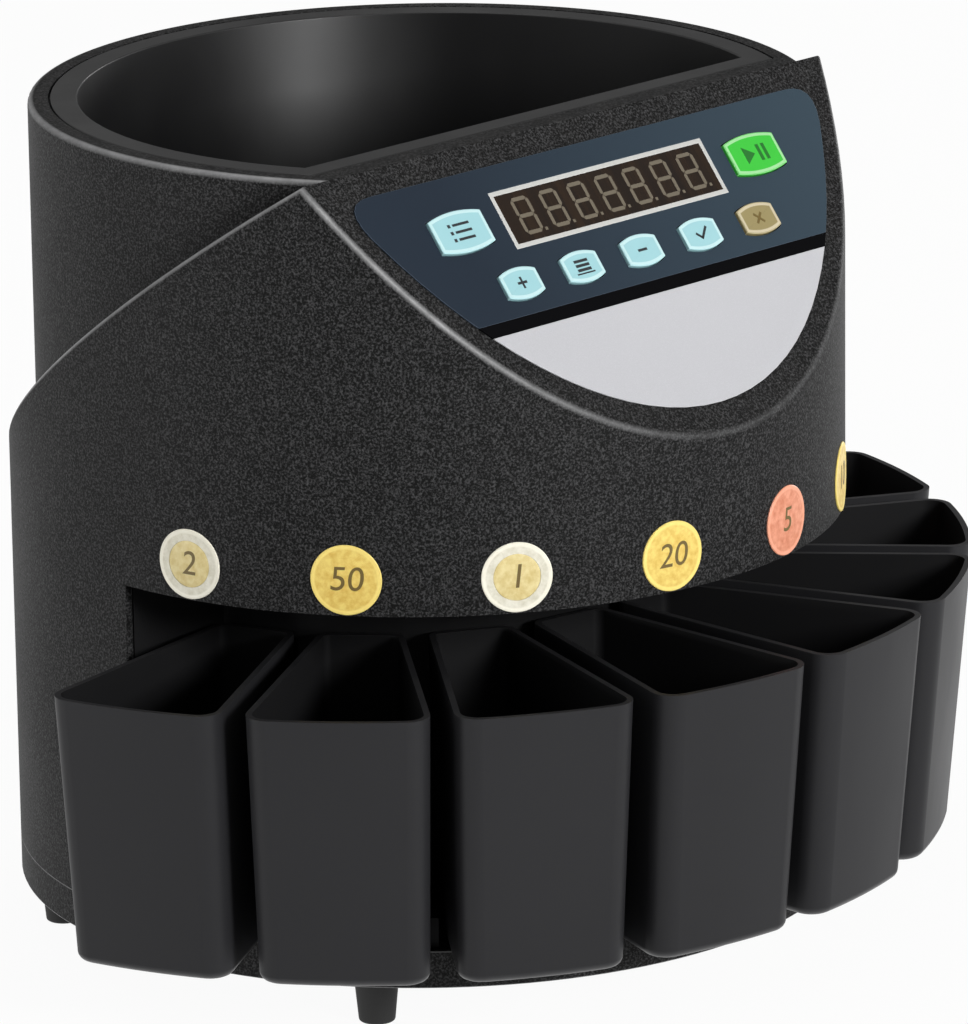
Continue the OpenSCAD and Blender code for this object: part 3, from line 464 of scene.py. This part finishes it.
def soften(bm, width, segments, chosen, clamp=True):
    """Round the chosen sharp edges of a mesh, and mark each round as rubbed and for a painted highlight, most in
    its middle.
    """
    edges = [e for e in bm.edges if len(e.link_faces) == 2 and e.calc_face_angle() > SHARP and chosen(e)]
    made = bmesh.ops.bevel(bm, geom=edges, offset=width, offset_type="OFFSET", affect="EDGES",
                           segments=segments, profile=0.5, material=-1, clamp_overlap=clamp)
    rub_and_highlight = bm.verts.layers.float["rub_and_highlight"]
    rounds = set(made["faces"])
    inner = {v for v in made["verts"] if all(face in rounds for face in v.link_faces)}
    rows = max(1, segments // 2)
    for step in range(rows):
        for vertex in inner:
            vertex[rub_and_highlight] = (step + 1) / rows
        inner = {v for v in inner if all(e.other_vert(v) in inner for e in v.link_edges)}


def any_edge(edge):
    """Every edge."""
    return True


def finish_mesh(piece):
    """Smooth shading that keeps flat faces flat."""
    piece.data.shade_smooth()
    piece.data.set_sharp_from_angle(angle=SHARP)
    piece.modifiers.new("even_normals", "WEIGHTED_NORMAL").keep_sharp = True


def new_piece(name, bm, material, body):
    """Object of a finished mesh, riding on a body."""
    mesh = bpy.data.meshes.new(name)
    bm.to_mesh(mesh)
    bm.free()
    mesh.materials.append(material)
    piece = bpy.data.objects.new(name, mesh)
    bpy.context.scene.collection.objects.link(piece)
    finish_mesh(piece)
    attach(piece, body)
    return piece


def node_mesh(node):
    """Merged copy of a CAD node's mesh, with its flat faces whole."""
    bm = bmesh.new()
    bm.from_mesh(nodes[node].data)
    bmesh.ops.remove_doubles(bm, verts=bm.verts, dist=MERGE)
    bmesh.ops.dissolve_limit(bm, angle_limit=FLAT, verts=bm.verts, edges=bm.edges)
    bm.verts.layers.float.new("rub_and_highlight")
    return bm


def dressed(node, *rounds, marked=None, faded=None, clamp=True, second=None):
    """Copy of a CAD node with rounded edges, which stands for the node."""
    bm = node_mesh(node)
    if marked:
        marked(bm)
    for width, segments, chosen in rounds:
        soften(bm, width * MM, segments, chosen, clamp)
    if faded:
        faded(bm)
    piece = new_piece(node + "_form", bm, FINISH[slots[node]], node_body[node])
    if second:
        piece.data.materials.append(second)
    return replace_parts(piece, node)


# Even shading of the round walls
WALL_LEAN = math.tan(math.radians(5))
WIDE_FACE = 100 * MM * MM
ROUND_FACING = 0.98


def even_wall(piece):
    """Normals of round walls taken from the machine's axis, and wide faces kept flat, for even shading.

    The inner side leans back a little, so that it catches the front light as the photograph's does.
    """
    mesh = piece.data
    normals = [Vector() for corner in mesh.loops]
    for polygon in mesh.polygons:
        corners = [mesh.vertices[i].co for i in polygon.vertices]
        outward = [Vector((p.x, p.y - axis_y, 0)).normalized() for p in corners]
        sides = [polygon.normal.dot(way) for way in outward]
        if min(abs(side) for side in sides) > ROUND_FACING:
            for corner, way, side in zip(polygon.loop_indices, outward, sides):
                rise = polygon.normal.z + (WALL_LEAN if side < 0 else 0.0)
                normals[corner] = math.copysign(1, side) * way + Vector((0, 0, rise))
        elif polygon.area > WIDE_FACE:
            for corner in polygon.loop_indices:
                normals[corner] = polygon.normal
    piece.modifiers.clear()
    mesh.normals_split_custom_set(normals)


# Housing, bowl, base, back and panel pieces
WALL_PLAY = 0.4 * MM
SKIRT_CLEAR = 2 * MM
TALL = 20 * MM
RIM_ROUND = 2.0 * MM
RIM_PLAY = 0.005 * MM
RIM_DEPTH = 0.95 * RIM_ROUND
RIM_INSET = 5 * MM
HIGHLIGHT_REACH = 130 * MM
LEAST_HIGHLIGHT = 0.15


def crease_edge(edge):
    """Edges of the shoulder and the panel on the housing's outer wall."""
    return all(radius_of(v.co) > body_r - WALL_PLAY and v.co.z > skirt_z + SKIRT_CLEAR
               for v in edge.verts)


def upright_edge(edge):
    """Edges that stand upright."""
    return abs(edge.verts[0].co.z - edge.verts[1].co.z) > TALL


def base_edge(edge):
    """Edges of the base's lower part."""
    return all(v.co.z < skirt_z / 3 for v in edge.verts)


def rim_painted_highlight(bm):
    """Mark the rounded outer edge of the hopper's rim for a painted highlight, strongest in the middle of its
    round.
    """
    rub_and_highlight = bm.verts.layers.float["rub_and_highlight"]
    top = [radius_of(v.co) for v in bm.verts if v.co.z > rim_z - RIM_PLAY]
    flat = max(reach for reach in top if reach < body_r - RIM_INSET)
    for vertex in bm.verts:
        share = (radius_of(vertex.co) - flat) / RIM_ROUND
        if vertex.co.z > rim_z - RIM_DEPTH and 0 < share < 1:
            vertex[rub_and_highlight] = math.sin(math.pi * share)


def fade_highlight_right(bm):
    """Fade the housing's painted edge highlight from full on its left half to a small share towards the right."""
    rub_and_highlight = bm.verts.layers.float["rub_and_highlight"]
    for vertex in bm.verts:
        vertex[rub_and_highlight] *= min(1.0, max(LEAST_HIGHLIGHT, -vertex.co.x / HIGHLIGHT_REACH))


# The housing's creases and rim edge carry a painted highlight, faded towards the right
even_wall(dressed("main_housing", (1.7, 6, crease_edge), marked=rim_painted_highlight, faded=fade_highlight_right, clamp=False))
dressed("rear_shell", (0.5, 3, upright_edge))
dressed("rear_panel", (0.3, 2, any_edge))
even_wall(dressed("hopper_bowl", (0.5, 3, any_edge)))
dressed("base_tray", (0.5, 2, base_edge))
dressed("feet", (0.7, 3, any_edge))
for node in ("power_inlet", "switch_frame", "switch_rocker"):
    dressed(node, (0.35, 2, any_edge))
for node in ("keypad_overlay", "overlay_stripe", "front_plate", "display_frame", "display_window"):
    dressed(node, (0.15, 2, any_edge))


# Drawers with a duller inside, whose darker colour is painted shade
FLOOR_PLAY = 0.1 * MM
MOUTH_ABOVE = 20 * MM
drawer_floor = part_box("drawer_1")[0].z


def floor_edge(edge):
    """Edges round the underside of a drawer."""
    return all(v.co.z < drawer_floor + FLOOR_PLAY for v in edge.verts)


def rim_edge(edge):
    """Edges round the mouth of a drawer."""
    return all(v.co.z > drawer_floor + MOUTH_ABOVE for v in edge.verts)


def drawer_inside(bm):
    """Give the inner faces of a drawer its second finish, duller and darker as painted shade."""
    middle = sum((v.co for v in bm.verts), Vector()) / len(bm.verts)
    for face in bm.faces:
        if face.normal.dot(middle - face.calc_center_median()) > 0:
            face.material_index = 1


for i in range(1, DRAWER_COUNT + 1):
    dressed(f"drawer_{i}", (3.0, 5, floor_edge), (0.35, 3, rim_edge), marked=drawer_inside,
            second=DRAWER_INSIDE_SHADED)


# Keys with a pale border and a sign on each
KEY_BORDER = 1.0 * MM
INK = 0.05 * MM


def dressed_key(node):
    """Key with a rounded top, a pale border round its face and its sign's place."""
    bm = node_mesh(node)
    soften(bm, 0.35 * MM, 3, any_edge)
    face = max(bm.faces, key=lambda f: f.calc_center_median().dot(panel_out) + f.calc_area())
    rim = bmesh.ops.inset_region(bm, faces=[face], thickness=KEY_BORDER, use_even_offset=True)["faces"]
    for ring_face in rim:
        ring_face.material_index = 1
    piece = new_piece(node + "_form", bm, FINISH[slots[node]], node_body[node])
    piece.data.materials.append(KEY_EDGE[slots[node]])
    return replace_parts(piece, node)


def bar(x, y, width, height):
    """Outline of an upright rectangle, in millimetres."""
    return [(x - width / 2, y - height / 2), (x + width / 2, y - height / 2),
            (x + width / 2, y + height / 2), (x - width / 2, y + height / 2)]


def turned(outline, degrees):
    """Outline turned about the middle."""
    c, s = math.cos(math.radians(degrees)), math.sin(math.radians(degrees))
    return [(c * x - s * y, s * x + c * y) for x, y in outline]


def plus_sign(size, stroke):
    """Outlines of a plus sign, in millimetres."""
    arm = (size - stroke) / 2
    reach = (size + stroke) / 4
    return [bar(0, 0, stroke, size), bar(-reach, 0, arm, stroke), bar(reach, 0, arm, stroke)]


def printed(name, outlines, place, material, body):
    """Flat printed sign: outlines in millimetres, laid on a place and given the ink's height."""
    bm = bmesh.new()
    bm.verts.layers.float.new("rub_and_highlight")
    for outline in outlines:
        bm.faces.new([bm.verts.new((x * MM, y * MM, 0)) for x, y in outline])
    made = bmesh.ops.extrude_face_region(bm, geom=list(bm.faces))["geom"]
    raised = [item for item in made if isinstance(item, bmesh.types.BMVert)]
    bmesh.ops.translate(bm, vec=(0, 0, INK), verts=raised)
    bmesh.ops.recalc_face_normals(bm, faces=bm.faces)
    bm.transform(place)
    return new_piece(name, bm, material, body)


SIGNS = {
    "key_report": ([bar(0.9, y, 7.4, 0.9) for y in (2.6, 0, -2.6)]
                   + [bar(-4.4, y, 1.2, 1.2) for y in (2.6, 0, -2.6)], DARK_INK),
    "key_start": ([[(-5.2, -3.2), (-0.2, 0), (-5.2, 3.2)], bar(2.2, 0, 1.5, 6.0), bar(4.9, 0, 1.5, 6.0)],
                  GREEN_INK),
    "key_plus": (plus_sign(4.2, 0.9), DARK_INK),
    "key_batch": ([bar(0, y, 6.2, 1.0) for y in (1.9, 0.3, -1.3)] + [bar(0, -2.6, 8.2, 0.5)], DARK_INK),
    "key_minus": ([bar(0, 0, 4.2, 0.9)], DARK_INK),
    "key_set": ([turned(bar(1.1, -0.9, 5.6, 0.9), 45), turned(bar(-1.25, 0.3, 0.9, 3.3), 45)], DARK_INK),
    "key_clear": ([turned(arm, 45) for arm in plus_sign(5.0, 0.9)], BROWN_INK),
}
for node, (outlines, ink) in SIGNS.items():
    dressed_key(node)
    printed(node + "_sign", outlines, panel_place(node), ink, node_body[node])


# On and off marks on the power rocker
MARK_SIZE = 4.2
MARK_STROKE = 0.7
FACING_BACK = 0.7


def ring_outlines(outer, inner, steps=24):
    """Flat ring as a row of four-sided outlines, in millimetres."""
    turns = [2 * math.pi * k / steps for k in range(steps + 1)]
    return [[(r * math.cos(a), r * math.sin(a))
             for r, a in ((inner, t0), (outer, t0), (outer, t1), (inner, t1))]
            for t0, t1 in zip(turns, turns[1:])]


def face_place(face):
    """Matrix at the middle of a flat face on the back: X across, Y up the face, Z out of it."""
    out = face.normal.normalized()
    up = out.cross(-ACROSS)
    turn = Matrix((-ACROSS, up, out)).transposed().to_4x4()
    return Matrix.Translation(face.calc_center_median()) @ turn


rocker_bm = node_mesh("switch_rocker")
rocker_bm.normal_update()
backs = [f for f in rocker_bm.faces if f.normal.y > FACING_BACK]
pads = sorted(backs, key=lambda f: -f.calc_area())[:2]
pads.sort(key=lambda f: f.calc_center_median().z)
rocker_marks = (("rocker_off", ring_outlines(MARK_SIZE / 2, MARK_SIZE / 2 - MARK_STROKE)),
                ("rocker_on", [bar(0, 0, MARK_STROKE, MARK_SIZE)]))
for face, (name, outlines) in zip(pads, rocker_marks):
    printed(name, outlines, face_place(face), WHITE_INK, node_body["switch_rocker"])
rocker_bm.free()


# Unlit digits of the display
DIGIT_PITCH = 13.1
DIGIT_W = 8.2
DIGIT_H = 13.6
STROKE = 1.35
STROKE_GAP = 0.25
POINT_ASIDE = 1.9
POINT_SIZE = 1.1
DIGIT_COUNT = 7


def stroke_outline(x, y, length, upright):
    """Bar with pointed ends, one stroke of a digit."""
    half, tip = length / 2, STROKE / 2
    outline = [(-half, 0), (tip - half, -tip), (half - tip, -tip),
               (half, 0), (half - tip, tip), (tip - half, tip)]
    return [(x + (v if upright else u), y + (-u if upright else v)) for u, v in outline]


def digit_outlines(x):
    """Seven strokes and a point of one digit, in millimetres."""
    half_w, half_h = (DIGIT_W - STROKE) / 2, (DIGIT_H - STROKE) / 2
    level = [stroke_outline(x, y, 2 * half_w - STROKE_GAP, False) for y in (-half_h, 0, half_h)]
    upright = [stroke_outline(x + side * half_w, y, half_h - STROKE_GAP, True)
               for side in (-1, 1) for y in (-half_h / 2, half_h / 2)]
    return level + upright + [bar(x + half_w + POINT_ASIDE, -half_h, POINT_SIZE, POINT_SIZE)]


digits = [outline for k in range(DIGIT_COUNT)
          for outline in digit_outlines((k - (DIGIT_COUNT - 1) / 2) * DIGIT_PITCH)]
printed("display_digits", digits, panel_place("display_window"), SEGMENT_GREY, machine)


# Coin badges on the round skirt
badge_low, badge_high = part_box("badges_gold")
badge_z = (badge_low.z + badge_high.z) / 2
badge_r = (badge_high.z - badge_low.z) / 2
badge_t = max(radius_of(v.co) for v in nodes["badges_gold"].data.vertices) - body_r
SLOT_STEP = 180 / DRAWER_COUNT
SPIN_STEPS = 72


def wrap(bm, i, lift):
    """Bend a flat mesh, X across and Y up, on to the skirt over a coin slot."""
    start = math.radians(SLOT_STEP * (i - (DRAWER_COUNT + 1) / 2) - 90)
    for vertex in bm.verts:
        turn = start + vertex.co.x / body_r
        reach = body_r + lift + vertex.co.z
        height = badge_z + vertex.co.y
        vertex.co = (reach * math.cos(turn), axis_y + reach * math.sin(turn), height)


def badge_mesh(profile):
    """Round badge spun from a profile of radius and height, with its radius kept as an attribute."""
    bm = bmesh.new()
    ring = bm.verts.layers.float.new("ring")
    line = [bm.verts.new((r, 0, h)) for r, h in profile]
    for first, second in zip(line, line[1:]):
        bm.edges.new((first, second))
    bmesh.ops.spin(bm, geom=bm.verts[:] + bm.edges[:], axis=(0, 0, 1), cent=(0, 0, 0),
                   steps=SPIN_STEPS, angle=2 * math.pi, use_merge=True)
    bmesh.ops.remove_doubles(bm, verts=bm.verts, dist=MERGE)
    bmesh.ops.recalc_face_normals(bm, faces=bm.faces)
    for vertex in bm.verts:
        vertex[ring] = vertex.co.xy.length / badge_r
    return bm


def join(target, source):
    """Add a mesh to another and free it."""
    holder = bpy.data.meshes.new("join")
    source.to_mesh(holder)
    source.free()
    target.from_mesh(holder)
    bpy.data.meshes.remove(holder)


def badges(node, places, profile, material):
    """All the badges of one colour, which stand for their node."""
    whole = bmesh.new()
    whole.verts.layers.float.new("ring")
    for i in places:
        one = badge_mesh(profile)
        wrap(one, i, 0.0)
        join(whole, one)
    piece = new_piece(node + "_print", whole, material, machine)
    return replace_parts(piece, node)


centre_r = (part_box("badge_centres")[1].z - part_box("badge_centres")[0].z) / 2
FACE_SINK = 0.12 * MM
FACE_H = badge_t - FACE_SINK
BORDER = 1.3 * MM
BORDER_ROUND = 0.2 * MM
OUTER_ROUND = 0.25 * MM
SEAM = 0.05 * MM
RING_SLOPE = 0.4 * MM
CENTRE_ROUND = 0.3 * MM
ring_r = centre_r + SEAM
border_profile = [(badge_r - BORDER, FACE_H), (badge_r - BORDER + BORDER_ROUND, badge_t),
                  (badge_r - OUTER_ROUND, badge_t), (badge_r, badge_t - BORDER_ROUND), (badge_r, 0)]
face_profile = [(0, 0), (0, FACE_H), (centre_r, FACE_H)]
ring_profile = [(ring_r, 0), (ring_r, badge_t - BORDER_ROUND), (centre_r + RING_SLOPE, FACE_H)]
centre_profile = [(0, 0), (0, FACE_H), (centre_r - CENTRE_ROUND, FACE_H),
                  (centre_r, badge_t - CENTRE_ROUND), (centre_r, 0), (0, 0)]
whole_profile = face_profile + border_profile + [(0, 0)]
badges("badges_gold", (2, 4, 6), whole_profile, FINISH["badge_gold"])
badges("badges_copper", (5, 7, 8), whole_profile, FINISH["badge_copper"])
badges("badge_rims", (1, 3), ring_profile + border_profile + [(ring_r, 0)], FINISH["badge_silver"])
badges("badge_centres", (1, 3), centre_profile, PALE_GOLD)

NUMERAL_SIZE = 11.5 * MM
NUMERAL_SLANT = 0.12
NUMERALS = {1: "2", 2: "50", 3: "1", 4: "20", 5: "5", 6: "10", 7: "2", 8: "1"}


def numeral(i, text):
    """Plain numeral on a badge."""
    curve = bpy.data.curves.new(f"numeral_{i}", "FONT")
    curve.body = text
    curve.size = NUMERAL_SIZE
    curve.shear = NUMERAL_SLANT
    curve.align_x = "CENTER"
    curve.align_y = "CENTER"
    curve.extrude = INK / 2
    holder = bpy.data.objects.new(f"numeral_{i}", curve)
    bm = bmesh.new()
    bm.verts.layers.float.new("rub_and_highlight")
    mesh = holder.to_mesh()
    bm.from_mesh(mesh)
    holder.to_mesh_clear()
    bpy.data.objects.remove(holder)
    bmesh.ops.remove_doubles(bm, verts=bm.verts, dist=MERGE)
    wrap(bm, i, FACE_H + INK / 2)
    new_piece(f"numeral_{i}", bm, BROWN_INK, machine)


for i, text in NUMERALS.items():
    numeral(i, text)


# Finishes of the pieces that keep their CAD form
for node, thing in nodes.items():
    if not thing.hide_render:
        thing.data.materials.clear()
        thing.data.materials.append(SHADED_BLACK if node == "coin_chutes" else FINISH[slots[node]])


# Viewpoint of the photograph
CAMERA_TURN = math.radians(-45.67)
CAMERA_RISE = math.radians(16.24)
CAMERA_ROLL = math.radians(-0.78)
CAMERA_DISTANCE = 2.71902
PIXELS_PER_METRE = 2953
CAMERA_FOCUS = PIXELS_PER_METRE * CAMERA_DISTANCE
AIM_HEIGHT = 0.136
AIM_ASIDE = 0.018763
SENSOR = 36.0
FAR_CLIP = 100

flat_reach = math.cos(CAMERA_RISE)
back = Vector((math.sin(CAMERA_TURN) * flat_reach, -math.cos(CAMERA_TURN) * flat_reach,
               math.sin(CAMERA_RISE)))
level = Vector((math.cos(CAMERA_TURN), math.sin(CAMERA_TURN), 0))
over = back.cross(level)
aim = Vector((0, axis_y, AIM_HEIGHT)) + level * AIM_ASIDE
rolled = level * math.cos(CAMERA_ROLL) + over * math.sin(CAMERA_ROLL)


# Floor, backdrop and light
FLOOR_WHITE = 0.95
FLOOR_SIZE = 30.0


def pale_floor():
    """Pale floor that looks white to the camera and in reflections, and keeps the shadow."""
    material, tree, shader = blank("pale_floor", Roughness=0.6, Specular_IOR_Level=0.1)
    speckle = noise(tree, object_place(tree), 60.0, 4.0)
    shade(tree, shader, Base_Color=blend(tree, speckle, paint("#ececea"), paint("#f4f4f2")))
    path = add(tree, "LightPath").outputs
    seen = maths(tree, "MAXIMUM", path["Is Camera Ray"],
                 maths(tree, "MAXIMUM", path["Is Glossy Ray"], path["Is Transmission Ray"]))
    glow = add(tree, "Emission", {"Color": (1, 1, 1, 1), "Strength": 1.0}).outputs[0]
    share = maths(tree, "MULTIPLY", seen, FLOOR_WHITE)
    mixed = add(tree, "MixShader", {0: share, 1: shader.outputs[0], 2: glow})
    tree.links.new(mixed.outputs[0], tree.nodes["Material Output"].inputs["Surface"])
    return material


floor_bm = bmesh.new()
bmesh.ops.create_grid(floor_bm, x_segments=2, y_segments=2, size=FLOOR_SIZE / 2)
floor_mesh = bpy.data.meshes.new("floor")
floor_bm.to_mesh(floor_mesh)
floor_bm.free()
floor_mesh.materials.append(pale_floor())
floor = bpy.data.objects.new("floor", floor_mesh)
bpy.context.scene.collection.objects.link(floor)

WORLD_FRONT = 0.25
WORLD_SIDE = 0.62
SIDE_FROM = 0.4
SIDE_FULL = 0.95
world = bpy.data.worlds.new("studio")
bpy.context.scene.world = world
world.use_nodes = True
sky = world.node_tree
outlook = add(sky, "TexCoord").outputs["Generated"]
aside = add(sky, "VectorMath", {0: outlook, 1: level}, operation="DOT_PRODUCT").outputs["Value"]
turned_aside = maths(sky, "ABSOLUTE", aside)
sky_level = ramp(sky, turned_aside, SIDE_FROM, SIDE_FULL, WORLD_FRONT, WORLD_SIDE)
sky.links.new(sky_level, sky.nodes["Background"].inputs["Strength"])
sky.nodes["Background"].inputs["Color"].default_value = (1, 1, 1, 1)

middle = Vector((0, axis_y, rim_z / 2))


def softbox(name, place, size, power):
    """Square area light that faces the machine."""
    light = bpy.data.lights.new(name, "AREA")
    light.size = size
    light.energy = power
    lamp = bpy.data.objects.new(name, light)
    lamp.location = place
    lamp.rotation_euler = (middle - Vector(place)).to_track_quat("-Z", "Y").to_euler()
    bpy.context.scene.collection.objects.link(lamp)


softbox("front_light", (-0.2, -2.37, 0.95), 0.6, 46)
softbox("left_light", (-1.95, 0.95, 0.1), 0.3, 12)
softbox("top_light", (0.1, 0.4, 2.2), 1.4, 8)
softbox("right_light", (2.15, 0.3, 0.35), 0.6, 8)


# Camera
camera_data = bpy.data.cameras.new("camera")
camera_data.sensor_width = SENSOR
camera_data.lens = CAMERA_FOCUS * SENSOR / max(PHOTO_SIZE)
camera_data.clip_end = FAR_CLIP
camera = bpy.data.objects.new("camera", camera_data)
camera.matrix_world = (Matrix.Translation(aim + back * CAMERA_DISTANCE)
                       @ Matrix((rolled, back.cross(rolled), back)).transposed().to_4x4())
bpy.context.scene.collection.objects.link(camera)
bpy.context.scene.camera = camera
bpy.context.scene.view_settings.view_transform = "Standard"
